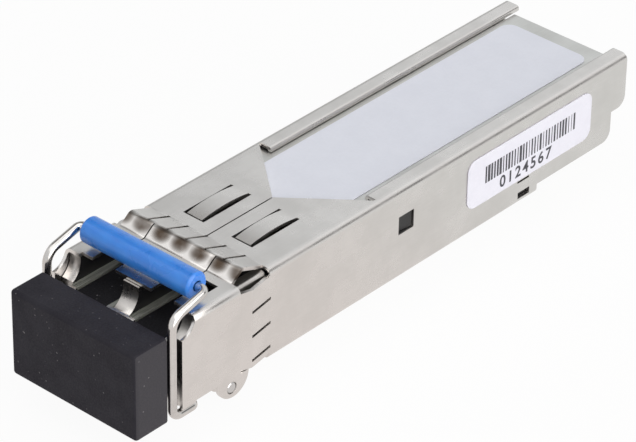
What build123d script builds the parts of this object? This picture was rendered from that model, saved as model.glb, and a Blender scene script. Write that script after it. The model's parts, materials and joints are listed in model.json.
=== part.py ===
from build123d import *
import os

os.makedirs("parts", exist_ok=True)

# Frame: X across the width, Y along the insertion direction, Z up.
# The origin is on the middle of the width, at the stop face that meets the cage, at the body's underside.

# Body envelope
body_width = 13.5
body_height = 8.5
nose_step = 0.2
nose_width = body_width + 2 * nose_step
nose_front_y = -6.8
nose_low_z = 0.7
body_rear_y = 47.5
sheet = 0.3
fold_radius = 0.6

# Contact fingers round the mouth of the cage
finger_front_y = -0.3
finger_rear_y = 3.2
finger_crown_y = 0.85
top_finger_rise = 0.9
side_finger_rise = 0.35
bottom_finger_rise = 0.8
finger_pitch = 2.02
finger_slit = 0.26
top_finger_count = 6
side_finger_pitch = 2.25
side_slit_low_z = 1.27
side_slit_count = 3
side_finger_margin = 0.65
front_slit_x = 3.3
front_slit_y = -1.25
finger_crown_radius = 0.6
finger_foot_radius = 0.35
finger_tail = 0.5
slit_tail = 0.1

# Scooped front corners of the nose walls
scoop_y = -6.9
scoop_z = body_height
scoop_radius = 1.6
wall_scoop_y = -7.1
wall_scoop_drop = 0.65
wall_scoop_z = body_height - wall_scoop_drop
wall_scoop_radius = 1.95

# Top of the nose
shelf_front_y = -4.95
shelf_half = 1.9
tab_inset = 2.4
tab_inner_x = body_width / 2 - tab_inset
latch_window_inset = 1.3
latch_window_half = body_width / 2 - latch_window_inset
latch_window_rear_y = -1.25
tab_rear_y = -3.4

# Top cut-outs of the long sleeve
seam_width = 0.12
tongue_centre_x = 2.58
tongue_width = 1.6
tongue_slot = 0.3
tongue_slit = 0.15
tongue_front_y = 4.6
tongue_rear_y = 9.95
tongue_bow = 0.25
tongue_root = 0.05
window_apex_y = 10.8
window_mid_inset = 1.75
window_mid_x = body_width / 2 - window_mid_inset
window_mid_y = 15.0
window_corner_x = body_width / 2 - fold_radius
window_corner_y = 15.9
strip_width = 1.4
strip_inner_x = body_width / 2 - strip_width
strip_front_y = 16.15
strip_lip = 0.3
strip_lip_depth = 0.45
strip_roll_radius = 0.27

# Side cut-outs and the stepped rear end
catch_window = (18.35, 20.2, 4.3, 6.0)
rear_slot = (33.4, 34.9, 2.15, 2.35)
rear_hole = (33.5, 35.0, 0.6, 1.2)
belly_end_y = 36.0
skirt_z = 0.95
skirt_rear_y = 45.7
rear_step_z = 3.6
rear_corner_radius = 1.0

# Pivot ears for the release lever
ear_radius = 1.75
ear_y = -1.15
ear_z = 0.6
foot_rear_y = -5.3
foot_z = 0.52

# Optical ports
port_pitch = 6.24
port_width = 4.6
port_floor_z = 1.1
port_height = 4.5
rail_width = 0.62
rail_top_z = 6.05
port_rear_y = 1.6
nest_rear_y = 3.0
casting_drop = 0.35
casting_top_z = body_height - casting_drop
casting_low_z = 0.35
front_relief = 0.5
front_relief_z = 2.6
nose_relief_z = 0.55
nose_relief_y = -4.5

# Tray that carries the circuit board
tray_floor = 0.6
tray_wall_inset = 1.45
tray_wall_inner_x = body_width / 2 - tray_wall_inset
optics_rear_y = 13.0
tray_drop = 1.2
tray_top_z = body_height - tray_drop
ledge_width = 0.55
ledge_inner_x = tray_wall_inner_x - ledge_width
latch_shoulder_y = 2.5
host_mouth_reach = 34.6
host_mouth_y = latch_shoulder_y + host_mouth_reach
belly_lap = 1.0

# Release lever and its boss
lever_half = 2.75
lever_neck_half = 1.3
lever_neck_y = 1.2
lever_front_y = -4.4
lever_low_z = 0.05
lever_thickness = 0.4
boss_depth = 0.45
boss_length = 2.4
channel_gap = 0.25
channel_top_z = 0.88
channel_rear_top_z = 1.78
pin_y = -1.3
pin_z = -0.25
pin_radius = 0.5
pin_clearance = 0.04
eye_radius = 0.85
eye_width = 0.8
eye_x = 2.2

# Spring that holds the lever down
spring_y = 0.55
spring_radius = 0.42
spring_wire = 0.09
spring_top_z = 2.35
spring_turns = 3
spring_sides = 4
spring_pocket_radius = 0.6

# Bail
wire_radius = 0.375
wire_sides = 8
bail_inset = 0.3
bail_x = nose_width / 2 - bail_inset
bail_arm_y = -7.6
bail_pivot_y = -5.1
bail_pivot_z = 0.1
bail_low_radius = 0.8
bail_high_radius = 1.3
bail_corner_radius = 0.5
bail_shoulder_rise = 0.6
bail_shoulder_z = body_height + bail_shoulder_rise
bail_bar_y = -3.9
bail_bar_rise = 1.5
bail_bar_z = body_height + bail_bar_rise
pivot_clearance = 0.05
lug_radius = 0.75
lug_inset = 1.45
lug_length = 2.0
lug_outer_x = body_width / 2 - lug_inset
lug_inner_x = lug_outer_x - lug_length
leg_bite = 1.4
bail_leg_end_x = lug_outer_x - leg_bite
sleeve_radius = 1.13
sleeve_inset = 0.85
sleeve_half = bail_x - sleeve_inset
sleeve_bore_gap = 0.06

# Dust plug
plug_inset = 0.25
plug_width = nose_width - 2 * plug_inset
plug_front_y = -11.6
plug_rear_y = -8.15
plug_low_z = -0.15
plug_drop = 0.75
plug_high_z = body_height - plug_drop
plug_edge_radius = 0.35
plug_fit = 0.1
prong_rear_y = 0.9
prong_bore_radius = 1.75
prong_bore_front_y = -3.2
prong_tip = 0.4

# Optical sub-assemblies
osa_axis_z = port_floor_z + port_height / 2
osa_x = port_pitch / 2
barrel_radius = 1.45
barrel_front_y = -2.4
ferrule_bore = 0.63
flange_radius = 2.35
flange_thickness = 0.6
groove_width = 0.8
neck_radius = 1.75
can_front_y = 5.6
can_length = 5.2
can_radius = 2.65
nest_radius = 2.75
ferrule_radius = 0.6
ferrule_length = 3.4

# Circuit board
board_low_z = 2.25
board_thickness = 1.0
board_front_y = 13.4
board_reach = 41.8
board_rear_y = latch_shoulder_y + board_reach
card_width = 9.2
board_side_gap = 0.1
board_width = 2 * (tray_wall_inner_x - board_side_gap)
card_neck_y = 35.6
contact_pitch = 0.8
contact_width = 0.6
contact_length = 2.6
contact_thickness = 0.05
contacts_per_side = 10

# Lid and labels
lid_thickness = 0.68
lid_front_y = 10.2
lid_rear_y = 47.1
lid_gap = 0.15
lid_half = body_width / 2 - sheet - lid_gap
lid_rear_radius = 0.4
lid_tail_inset = 1.75
host_mouth_height = 2.0
label_thickness = 0.1
top_label_inset = 0.95
top_label_half = strip_inner_x - top_label_inset
top_label_front_y = 14.6
top_label_rear_y = 45.3
side_label_box = (26.8, 42.8, 2.5, 7.1)
label_radius = 1.0

# Small clearances and edge sizes
cast_gap = 0.06
cast_set_back = 0.25
catch_gap = 0.1
catch_nose = 0.2
card_bevel = 0.25
clamp_gap = 0.05
pin_lead = 0.1
chip_bevel = 0.12
sleeve_edge = 0.2
bail_leg_radius = 0.45

# Flexible circuits
flex_width = 3.2
flex_thickness = 0.15
flex_radius = 0.5
flex_reach = 1.6
flex_lap = 1.2

# Parts on the board: x, y, length along Y, width, height
controller = (-0.4, 24.5, 5.0, 5.0, 0.9)
driver = (-2.6, 17.6, 3.0, 3.0, 0.8)
amplifier = (2.6, 17.6, 3.0, 3.0, 0.8)
memory = (2.4, 31.0, 3.0, 2.0, 0.8)
pad_size = 4.4
capacitor_size = (1.0, 0.5, 0.5)
resistor_size = (0.6, 0.3, 0.25)
inductor_size = (1.6, 1.4, 1.1)
inductor_x = -3.2
inductor_rows = (29.6, 32.2)
capacitor_inset = 0.8
capacitor_front_y = 20.4
capacitor_pitch = 1.8
capacitor_rows = 5
resistor_front_y = 33.6
resistor_pitch = 1.2
resistor_left_x = -1.4
resistor_column_pitch = 1.0

# Values worked out from the ones above
half_width = body_width / 2
inner_half = half_width - sheet
half_nose = nose_width / 2
nose_inner_half = half_nose - sheet
joggle_y = finger_front_y - finger_tail
roof_z = body_height - sheet
cast_half = inner_half - cast_gap
cast_nose_half = nose_inner_half - cast_gap
cast_front_y = nose_front_y + cast_set_back
board_top_z = board_low_z + board_thickness
groove_front_y = nest_rear_y + flange_thickness
groove_rear_y = groove_front_y + groove_width
can_rear_y = can_front_y + can_length
clamp_front_y = groove_front_y + clamp_gap
clamp_rear_y = groove_rear_y - clamp_gap
clamp_half = osa_x + flange_radius
clamp_low_z = 1.9
tray_half = tray_wall_inner_x
tray_floor_z = casting_low_z + tray_floor
lever_top_z = lever_low_z + lever_thickness
boss_rear_y = latch_shoulder_y + boss_length
boss_flat = 0.3
lever_slot_half = lever_half + channel_gap
lever_slot_rear_y = boss_rear_y + 2 * channel_gap
lid_top_z = tray_top_z + lid_thickness
lid_tail_half = half_width - lid_tail_inset
lid_beam_rear_y = skirt_rear_y
lid_beam_z = board_top_z + host_mouth_height
label_point_y = 10.6
capacitor_x = board_width / 2 - capacitor_inset


def slab(x_low, x_high, y_low, y_high, z_low, z_high, mode=Mode.ADD):
    """A straight block between two corners, added to or cut from the part being built."""
    middle = ((x_low + x_high) / 2, (y_low + y_high) / 2, (z_low + z_high) / 2)
    with Locations(middle):
        Box(x_high - x_low, y_high - y_low, z_high - z_low, mode=mode)


def round_bar(x, z, radius, y_low, y_high, mode=Mode.ADD):
    """A round bar or bore along Y, centred at x and z."""
    with BuildSketch(Plane((x, y_low, z), x_dir=(1, 0, 0), z_dir=(0, 1, 0))) as disc:
        Circle(radius)
    extrude(disc.sketch, amount=y_high - y_low, mode=mode)


def cross_bar(y, z, radius, x_low, x_high, mode=Mode.ADD):
    """A round bar or bore along X, centred at y and z."""
    with BuildSketch(Plane((x_low, y, z), x_dir=(0, 1, 0), z_dir=(1, 0, 0))) as disc:
        Circle(radius)
    extrude(disc.sketch, amount=x_high - x_low, mode=mode)


def finger_strip(plane, rise, width):
    """One bowed contact strip: flat tails on the sheet at both ends, a rounded crown between them."""
    with BuildSketch(plane) as profile:
        with BuildLine():
            FilletPolyline(
                (finger_front_y - finger_tail, 0),
                (finger_front_y, 0),
                (finger_crown_y, rise),
                (finger_rear_y, 0),
                (finger_rear_y + finger_tail, 0),
                radius=(finger_foot_radius, finger_crown_radius, finger_foot_radius),
            )
            offset(amount=sheet, side=Side.RIGHT)
        make_face()
    extrude(profile.sketch, amount=width)


# Long folded sleeve with its nose plates, contact fingers, window and pressed tongues
with BuildPart() as shell:
    with BuildSketch(Plane.XZ.offset(-nose_front_y)):
        with Locations((0, body_height / 2)):
            RectangleRounded(body_width, body_height, fold_radius)
            RectangleRounded(
                body_width - 2 * sheet,
                body_height - 2 * sheet,
                fold_radius - sheet,
                mode=Mode.SUBTRACT,
            )
    extrude(amount=-(body_rear_y - nose_front_y))
    # The nose stands a little wider than the sleeve and steps in just ahead of the fingers
    for outer, mode in ((nose_width, Mode.ADD), (nose_width - 2 * sheet, Mode.SUBTRACT)):
        inset = (nose_width - outer) / 2
        with BuildSketch(Plane.XZ.offset(-nose_front_y)):
            with Locations((0, body_height / 2)):
                RectangleRounded(outer, body_height - 2 * inset, fold_radius - inset)
        reach = finger_front_y if mode == Mode.ADD else joggle_y
        extrude(amount=nose_front_y - reach, mode=mode)
    slab(-inner_half, inner_half, joggle_y, finger_front_y, sheet, roof_z, Mode.SUBTRACT)
    # The sleeve is interrupted where the fingers bow outwards
    slab(-half_width, half_width, finger_front_y, finger_rear_y, 0, body_height, Mode.SUBTRACT)
    # Port windows in the roof of the nose, between the middle shelf and the corner tabs
    for side in (-1, 1):
        low, high = sorted((side * shelf_half, side * tab_inner_x))
        slab(low, high, nose_front_y, latch_window_rear_y, roof_z, body_height, Mode.SUBTRACT)
        low, high = sorted((side * tab_inner_x, side * latch_window_half))
        slab(low, high, tab_rear_y, latch_window_rear_y, roof_z, body_height, Mode.SUBTRACT)
    shelf_gap = (-latch_window_half, latch_window_half, nose_front_y, shelf_front_y, roof_z, body_height)
    slab(*shelf_gap, Mode.SUBTRACT)
    # No floor sheet ahead of the lever's ears, and a slot for the lever behind them
    slab(-half_nose, half_nose, nose_front_y, ear_y - ear_radius, 0, nose_low_z, Mode.SUBTRACT)
    slab(-lever_slot_half, lever_slot_half, ear_y - ear_radius, lever_slot_rear_y, 0, sheet, Mode.SUBTRACT)
    for side in (-1, 1):
        # Feet that cover the ends of the bail, and the ears that hold the lever's pin
        low, high = sorted((side * nose_inner_half, side * half_nose))
        slab(low, high, nose_front_y, foot_rear_y, foot_z, nose_low_z)
        with BuildSketch(Plane.YZ.offset(low)):
            with Locations((ear_y, ear_z)):
                Circle(ear_radius)
            with Locations((ear_y, fold_radius + ear_radius)):
                Rectangle(2 * ear_radius, 2 * ear_radius, mode=Mode.SUBTRACT)
        extrude(amount=sheet)
    cross_bar(pin_y, pin_z, pin_radius + pin_clearance, -half_nose, half_nose, Mode.SUBTRACT)
    cross_bar(scoop_y, scoop_z, scoop_radius, -half_nose, half_nose, Mode.SUBTRACT)
    # Contact bands on the four sides, bowed outwards
    top_band_half = (top_finger_count * finger_pitch - finger_slit) / 2
    top_plane = Plane((-top_band_half, 0, body_height), x_dir=(0, 1, 0), z_dir=(1, 0, 0))
    finger_strip(top_plane, top_finger_rise, 2 * top_band_half)
    side_band = body_height - 2 * side_finger_margin
    right_plane = Plane((half_width, 0, body_height - side_finger_margin), x_dir=(0, 1, 0), z_dir=(0, 0, -1))
    finger_strip(right_plane, side_finger_rise, side_band)
    left_plane = Plane((-half_width, 0, side_finger_margin), x_dir=(0, 1, 0), z_dir=(0, 0, 1))
    finger_strip(left_plane, side_finger_rise, side_band)
    for side in (-1, 1):
        low, high = sorted((side * (lever_slot_half + finger_slit), side * top_band_half))
        bottom_plane = Plane((high, 0, 0), x_dir=(0, 1, 0), z_dir=(-1, 0, 0))
        finger_strip(bottom_plane, bottom_finger_rise, high - low)
    # Slits from the crown to the rear part the bands into fingers
    slit_rear_y = finger_rear_y + slit_tail
    slit_half = finger_slit / 2
    top_z = body_height + top_finger_rise
    for column in range(1, top_finger_count):
        x = (column - top_finger_count / 2) * finger_pitch
        slab(x - slit_half, x + slit_half, finger_crown_y, slit_rear_y, roof_z, top_z, Mode.SUBTRACT)
    for row in range(side_slit_count):
        z = side_slit_low_z + row * side_finger_pitch
        for side in (-1, 1):
            low, high = sorted((side * inner_half, side * (half_width + side_finger_rise)))
            slab(low, high, finger_crown_y, slit_rear_y, z - slit_half, z + slit_half, Mode.SUBTRACT)
    # Two narrow slits in the front slope of the top band
    for side in (-1, 1):
        low = side * front_slit_x - seam_width / 2
        slab(low, low + seam_width, front_slit_y, finger_crown_y, roof_z, top_z, Mode.SUBTRACT)
    # Seam where the two roof flaps meet
    slab(
        -seam_width / 2,
        seam_width / 2,
        finger_rear_y - finger_foot_radius,
        window_apex_y + seam_width,
        roof_z,
        body_height,
        Mode.SUBTRACT,
    )
    # Sprung tongues, free at the front and bowed outwards, to press against the cage's roof
    for side in (-1, 1):
        low = side * tongue_centre_x - tongue_width / 2
        high = low + tongue_width
        slab(
            low - tongue_slot,
            high + tongue_slot,
            tongue_front_y - tongue_slit,
            tongue_rear_y,
            roof_z,
            body_height,
            Mode.SUBTRACT,
        )
        with BuildSketch(Plane.YZ.offset(low)):
            with BuildLine():
                tongue_arcs = []
                for z in (roof_z, body_height):
                    start = (tongue_front_y, z)
                    middle = ((tongue_front_y + tongue_rear_y) / 2, z + tongue_bow)
                    tongue_arcs.append(ThreePointArc(start, middle, (tongue_rear_y + tongue_root, z)))
                Line(tongue_arcs[0] @ 0, tongue_arcs[1] @ 0)
                Line(tongue_arcs[0] @ 1, tongue_arcs[1] @ 1)
            make_face()
        extrude(amount=tongue_width)
    # V-shaped window that leaves a strip along each side
    with BuildSketch(Plane.XY.offset(roof_z)):
        with BuildLine():
            Polyline(
                (0, window_apex_y),
                (window_mid_x, window_mid_y),
                (window_corner_x, window_corner_y),
                (window_corner_x, strip_front_y),
                (strip_inner_x, strip_front_y),
                (strip_inner_x, body_rear_y),
                (0, body_rear_y),
                close=True,
            )
        make_face()
        mirror(about=Plane.YZ)
    extrude(amount=sheet, mode=Mode.SUBTRACT)
    for side in (-1, 1):
        # Rolled inner edges of the two strips
        low, high = sorted((side * (strip_inner_x - strip_lip), side * strip_inner_x))
        slab(low, high, strip_front_y, body_rear_y, body_height - strip_lip_depth, body_height)
    rolled = shell.edges().filter_by(Axis.Y).group_by(Axis.Z)[-1]
    rolled = [edge for edge in rolled if abs(abs(edge.center().X) - strip_inner_x + strip_lip) < 0.01]
    fillet(rolled, radius=strip_roll_radius)
    # Catch windows, slots and holes, alike on both sides
    for y_low, y_high, z_low, z_high in (catch_window, rear_slot, rear_hole):
        slab(-half_width, half_width, y_low, y_high, z_low, z_high, Mode.SUBTRACT)
    # Open belly over the host connector and the stepped rear end
    slab(-half_width, half_width, belly_end_y, body_rear_y, 0, skirt_z, Mode.SUBTRACT)
    with BuildSketch(Plane.YZ.offset(-half_width)):
        with BuildLine():
            skirt_corner = RadiusArc(
                (skirt_rear_y - rear_corner_radius, skirt_z),
                (skirt_rear_y, skirt_z + rear_corner_radius),
                -rear_corner_radius,
            )
            rear_corner = RadiusArc(
                (body_rear_y - rear_corner_radius, rear_step_z),
                (body_rear_y, rear_step_z + rear_corner_radius),
                -rear_corner_radius,
            )
            Polyline(skirt_corner @ 1, (skirt_rear_y, rear_step_z), rear_corner @ 0)
            Polyline(rear_corner @ 1, (body_rear_y, 0), (skirt_rear_y - rear_corner_radius, 0))
            Line((skirt_rear_y - rear_corner_radius, 0), skirt_corner @ 0)
        make_face()
    extrude(amount=body_width, mode=Mode.SUBTRACT)
shell.part.label = "shell"

# Cast base: ports and scooped walls at the nose, nests for the optics, a tray for the board
with BuildPart() as base_casting:
    for half, front_y, rear_y, top_z in (
        (cast_nose_half, cast_front_y, joggle_y - cast_gap, casting_top_z),
        (cast_half, cast_front_y, nest_rear_y, casting_top_z),
        (cast_half, nest_rear_y, skirt_rear_y, tray_top_z),
    ):
        with BuildSketch(Plane.XZ.offset(-front_y)):
            with Locations((0, (casting_low_z + top_z) / 2)):
                RectangleRounded(2 * half, top_z - casting_low_z, fold_radius - sheet)
        extrude(amount=front_y - rear_y)
    # Relief over the bail's lower runs and pivot legs
    bail_relief = (-cast_nose_half, cast_nose_half, cast_front_y, nose_relief_y, casting_low_z, nose_relief_z)
    slab(*bail_relief, Mode.SUBTRACT)
    # Ports: a square bore below, a narrower latch slot with two rails, and an open roof
    for side in (-1, 1):
        x = side * osa_x
        port_half = port_width / 2
        port_top_z = port_floor_z + port_height
        slab(x - port_half, x + port_half, cast_front_y, port_rear_y, port_floor_z, port_top_z, Mode.SUBTRACT)
        slot_half = port_half - rail_width
        slab(x - slot_half, x + slot_half, cast_front_y, port_rear_y, port_top_z, rail_top_z, Mode.SUBTRACT)
        port_roof = (x - port_half, x + port_half, cast_front_y, port_rear_y, rail_top_z, casting_top_z)
        slab(*port_roof, Mode.SUBTRACT)
        # Bore for the barrel, then the nest that takes the flanges and the can
        round_bar(x, osa_axis_z, barrel_radius + cast_gap, port_rear_y, nest_rear_y, Mode.SUBTRACT)
        round_bar(x, osa_axis_z, nest_radius + cast_gap, nest_rear_y, optics_rear_y, Mode.SUBTRACT)
        slab(
            x - nest_radius - cast_gap,
            x + nest_radius + cast_gap,
            nest_rear_y,
            optics_rear_y,
            osa_axis_z,
            casting_top_z,
            Mode.SUBTRACT,
        )
    # Slot for the retainer plate
    slab(
        -clamp_half - clamp_gap,
        clamp_half + clamp_gap,
        groove_front_y,
        groove_rear_y,
        clamp_low_z - clamp_gap,
        casting_top_z,
        Mode.SUBTRACT,
    )
    cross_bar(wall_scoop_y, wall_scoop_z, wall_scoop_radius, -cast_nose_half, cast_nose_half, Mode.SUBTRACT)
    # The outer walls stand back above the bail's lower run
    for side in (-1, 1):
        low, high = sorted((side * (osa_x + port_width / 2), side * cast_nose_half))
        relief_rear_y = cast_front_y + front_relief
        slab(low, high, cast_front_y, relief_rear_y, front_relief_z, casting_top_z, Mode.SUBTRACT)
    # Tray: floor, ledges under the board and side walls
    slab(-tray_half, tray_half, optics_rear_y, skirt_rear_y, board_low_z, casting_top_z, Mode.SUBTRACT)
    slab(-ledge_inner_x, ledge_inner_x, optics_rear_y, host_mouth_y, tray_floor_z, board_low_z, Mode.SUBTRACT)
    slab(-tray_half, tray_half, host_mouth_y, skirt_rear_y, casting_low_z, board_low_z, Mode.SUBTRACT)
    slab(-cast_half, cast_half, host_mouth_y - belly_lap, skirt_rear_y, casting_low_z, skirt_z, Mode.SUBTRACT)
    # Channel for the release lever, with a narrow rear part for the boss arm
    slab(
        -lever_slot_half,
        lever_slot_half,
        lever_front_y - channel_gap,
        lever_neck_y,
        casting_low_z,
        channel_top_z,
        Mode.SUBTRACT,
    )
    slab(
        -lever_neck_half - channel_gap,
        lever_neck_half + channel_gap,
        lever_front_y,
        lever_slot_rear_y,
        casting_low_z,
        channel_top_z,
        Mode.SUBTRACT,
    )
    slab(
        -lever_neck_half - channel_gap,
        lever_neck_half + channel_gap,
        port_rear_y - channel_gap,
        lever_slot_rear_y,
        casting_low_z,
        channel_rear_top_z,
        Mode.SUBTRACT,
    )
    # Pocket that guides the lever's spring
    with BuildSketch(Plane.XY.offset(casting_low_z)):
        with Locations((0, spring_y)):
            Circle(spring_pocket_radius)
    extrude(amount=spring_top_z - casting_low_z, mode=Mode.SUBTRACT)
    # Lugs under the nose that the bail pivots in
    for side in (-1, 1):
        low, high = sorted((side * lug_inner_x, side * lug_outer_x))
        slab(
            low,
            high,
            bail_pivot_y - lug_radius,
            bail_pivot_y + lug_radius,
            bail_pivot_z,
            nose_relief_z + lug_radius / 2,
        )
        cross_bar(bail_pivot_y, bail_pivot_z, lug_radius, low, high)
    pivot_radius = wire_radius + pivot_clearance
    cross_bar(bail_pivot_y, bail_pivot_z, pivot_radius, -lug_outer_x, lug_outer_x, Mode.SUBTRACT)
    # Snap noses that show in the sleeve's catch windows
    for side in (-1, 1):
        with BuildSketch(Plane.XY.offset(catch_window[2] + catch_gap)):
            with BuildLine():
                Polyline(
                    (side * cast_half, catch_window[0] + catch_gap),
                    (side * (cast_half + catch_nose), catch_window[1] - 3 * catch_gap),
                    (side * (cast_half + catch_nose), catch_window[1] - catch_gap),
                    (side * cast_half, catch_window[1] - catch_gap),
                    close=True,
                )
            make_face()
        extrude(amount=catch_window[3] - catch_window[2] - 2 * catch_gap)
base_casting.part.label = "base_casting"

# Lid plate under the window, held by the strips of the sleeve
with BuildPart() as lid_plate:
    with BuildSketch(Plane.XY.offset(tray_top_z)):
        with BuildLine():
            Polyline(
                (-lid_half, lid_front_y),
                (lid_half, lid_front_y),
                (lid_half, skirt_rear_y),
                (lid_tail_half, skirt_rear_y),
                (lid_tail_half, lid_rear_y),
                (-lid_tail_half, lid_rear_y),
                (-lid_tail_half, skirt_rear_y),
                (-lid_half, skirt_rear_y),
                close=True,
            )
        make_face()
    extrude(amount=lid_thickness)
    rear_edges = lid_plate.edges().filter_by(Axis.X).group_by(Axis.Y)[-1]
    fillet(rear_edges.sort_by(Axis.Z)[-1], radius=lid_rear_radius)
    # Beam down to the board that closes the roof over the host connector
    slab(-tray_half + cast_gap, tray_half - cast_gap, host_mouth_y, lid_beam_rear_y, lid_beam_z, tray_top_z)
lid_plate.part.label = "lid_plate"

# Label on the lid, with rounded rear corners and a pointed front that follows the window
with BuildPart() as top_label:
    with BuildSketch(Plane.XY.offset(lid_top_z)) as label_outline:
        with BuildLine():
            Polyline(
                (0, label_point_y),
                (top_label_half, top_label_front_y),
                (top_label_half, top_label_rear_y),
                (-top_label_half, top_label_rear_y),
                (-top_label_half, top_label_front_y),
                close=True,
            )
        make_face()
        fillet(label_outline.vertices().group_by(Axis.Y)[-1], radius=label_radius)
    extrude(amount=label_thickness)
top_label.part.label = "top_label"

# Label on the right side
with BuildPart() as side_label:
    label_middle = ((side_label_box[0] + side_label_box[1]) / 2, (side_label_box[2] + side_label_box[3]) / 2)
    with BuildSketch(Plane.YZ.offset(half_width)):
        with Locations(label_middle):
            RectangleRounded(
                side_label_box[1] - side_label_box[0],
                side_label_box[3] - side_label_box[2],
                label_radius,
            )
    extrude(amount=label_thickness)
side_label.part.label = "side_label"

# Circuit board, narrowed to a card edge at the rear
with BuildPart() as circuit_board:
    with BuildSketch(Plane.XY.offset(board_low_z)):
        with BuildLine():
            Polyline(
                (board_width / 2, board_front_y),
                (board_width / 2, card_neck_y),
                (card_width / 2, card_neck_y),
                (card_width / 2, board_rear_y),
                (0, board_rear_y),
                (0, board_front_y),
                close=True,
            )
        make_face()
        mirror(about=Plane.YZ)
    extrude(amount=board_thickness)
    chamfer(circuit_board.edges().filter_by(Axis.X).group_by(Axis.Y)[-1], length=card_bevel)
circuit_board.part.label = "circuit_board"

# Gold fingers of the card edge, ten on each face
with BuildPart() as edge_contacts:
    for column in range(contacts_per_side):
        x = (column - (contacts_per_side - 1) / 2) * contact_pitch
        rear = board_rear_y - card_bevel
        for low in (board_low_z - contact_thickness, board_top_z):
            slab(
                x - contact_width / 2,
                x + contact_width / 2,
                rear - contact_length,
                rear,
                low,
                low + contact_thickness,
            )
edge_contacts.part.label = "edge_contacts"


def optical_body(x):
    """Turned body of one optical sub-assembly: barrel, two flanges, neck and can."""
    with BuildSketch(Plane((x, 0, osa_axis_z), x_dir=(1, 0, 0), z_dir=(0, 0, 1))) as half_section:
        with BuildLine():
            Polyline(
                (0, barrel_front_y),
                (barrel_radius, barrel_front_y),
                (barrel_radius, nest_rear_y),
                (flange_radius, nest_rear_y),
                (flange_radius, groove_front_y),
                (neck_radius, groove_front_y),
                (neck_radius, groove_rear_y),
                (flange_radius, groove_rear_y),
                (flange_radius, can_front_y),
                (can_radius, can_front_y),
                (can_radius, can_rear_y),
                (0, can_rear_y),
                close=True,
            )
        make_face()
    revolve(half_section.sketch, axis=Axis((x, 0, osa_axis_z), (0, 1, 0)))
    round_bar(x, osa_axis_z, ferrule_bore, barrel_front_y, nest_rear_y, Mode.SUBTRACT)


# Transmitter on the left and receiver on the right, as seen from the nose
with BuildPart() as transmitter:
    optical_body(-osa_x)
transmitter.part.label = "transmitter"

with BuildPart() as receiver:
    optical_body(osa_x)
receiver.part.label = "receiver"

# Ceramic ferrules that sit deep in the two barrels
with BuildPart() as transmitter_ferrule:
    round_bar(-osa_x, osa_axis_z, ferrule_radius, nest_rear_y - ferrule_length, nest_rear_y)
transmitter_ferrule.part.label = "transmitter_ferrule"

with BuildPart() as receiver_ferrule:
    round_bar(osa_x, osa_axis_z, ferrule_radius, nest_rear_y - ferrule_length, nest_rear_y)
receiver_ferrule.part.label = "receiver_ferrule"

# Retainer plate that drops into the grooves of both bodies
with BuildPart() as optics_clamp:
    slab(-clamp_half, clamp_half, clamp_front_y, clamp_rear_y, clamp_low_z, tray_top_z)
    for side in (-1, 1):
        x = side * osa_x
        slot = neck_radius + clamp_gap
        round_bar(x, osa_axis_z, slot, clamp_front_y, clamp_rear_y, Mode.SUBTRACT)
        slab(x - slot, x + slot, clamp_front_y, clamp_rear_y, clamp_low_z, osa_axis_z, Mode.SUBTRACT)
optics_clamp.part.label = "optics_clamp"


def flex_strip(x, width):
    """Flexible circuit from the can down to the top of the board, with one soft bend at each end."""
    with BuildSketch(Plane.YZ.offset(x - width / 2)) as strip:
        with BuildLine():
            FilletPolyline(
                (can_rear_y, osa_axis_z + flex_reach),
                (can_rear_y, board_top_z),
                (board_front_y + flex_lap, board_top_z),
                radius=flex_radius,
            )
            offset(amount=flex_thickness, side=Side.LEFT)
        make_face()
    extrude(strip.sketch, amount=width)


with BuildPart() as transmitter_flex:
    flex_strip(-osa_x, flex_width)
transmitter_flex.part.label = "transmitter_flex"

with BuildPart() as receiver_flex:
    flex_strip(osa_x, flex_width)
receiver_flex.part.label = "receiver_flex"


def chip(x, y, length, width, height):
    """A flat chip on the board with a bevelled top edge."""
    slab(x - width / 2, x + width / 2, y - length / 2, y + length / 2, board_top_z, board_top_z + height)


# Parts on the top of the board
with BuildPart() as controller_chip:
    chip(*controller)
    chamfer(controller_chip.edges().group_by(Axis.Z)[-1], length=chip_bevel)
controller_chip.part.label = "controller_chip"

with BuildPart() as driver_chip:
    chip(*driver)
    chamfer(driver_chip.edges().group_by(Axis.Z)[-1], length=chip_bevel)
driver_chip.part.label = "driver_chip"

with BuildPart() as amplifier_chip:
    chip(*amplifier)
    chamfer(amplifier_chip.edges().group_by(Axis.Z)[-1], length=chip_bevel)
amplifier_chip.part.label = "amplifier_chip"

with BuildPart() as memory_chip:
    chip(*memory)
    chamfer(memory_chip.edges().group_by(Axis.Z)[-1], length=chip_bevel)
memory_chip.part.label = "memory_chip"

with BuildPart() as board_capacitors:
    for row in range(capacitor_rows):
        for side in (-1, 1):
            chip(side * capacitor_x, capacitor_front_y + row * capacitor_pitch, *capacitor_size)
board_capacitors.part.label = "board_capacitors"

with BuildPart() as board_resistors:
    for row in range(2):
        for column in range(3):
            x = resistor_left_x + column * resistor_column_pitch
            chip(x, resistor_front_y + row * resistor_pitch, *resistor_size)
board_resistors.part.label = "board_resistors"

with BuildPart() as supply_inductors:
    for y in inductor_rows:
        chip(inductor_x, y, *inductor_size)
    chamfer(supply_inductors.edges().group_by(Axis.Z)[-1], length=chip_bevel)
supply_inductors.part.label = "supply_inductors"

# Soft pad that carries the controller's heat to the lid
with BuildPart() as thermal_pad:
    pad_low_z = board_top_z + controller[4]
    slab(
        controller[0] - pad_size / 2,
        controller[0] + pad_size / 2,
        controller[1] - pad_size / 2,
        controller[1] + pad_size / 2,
        pad_low_z,
        tray_top_z,
    )
thermal_pad.part.label = "thermal_pad"

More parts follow.
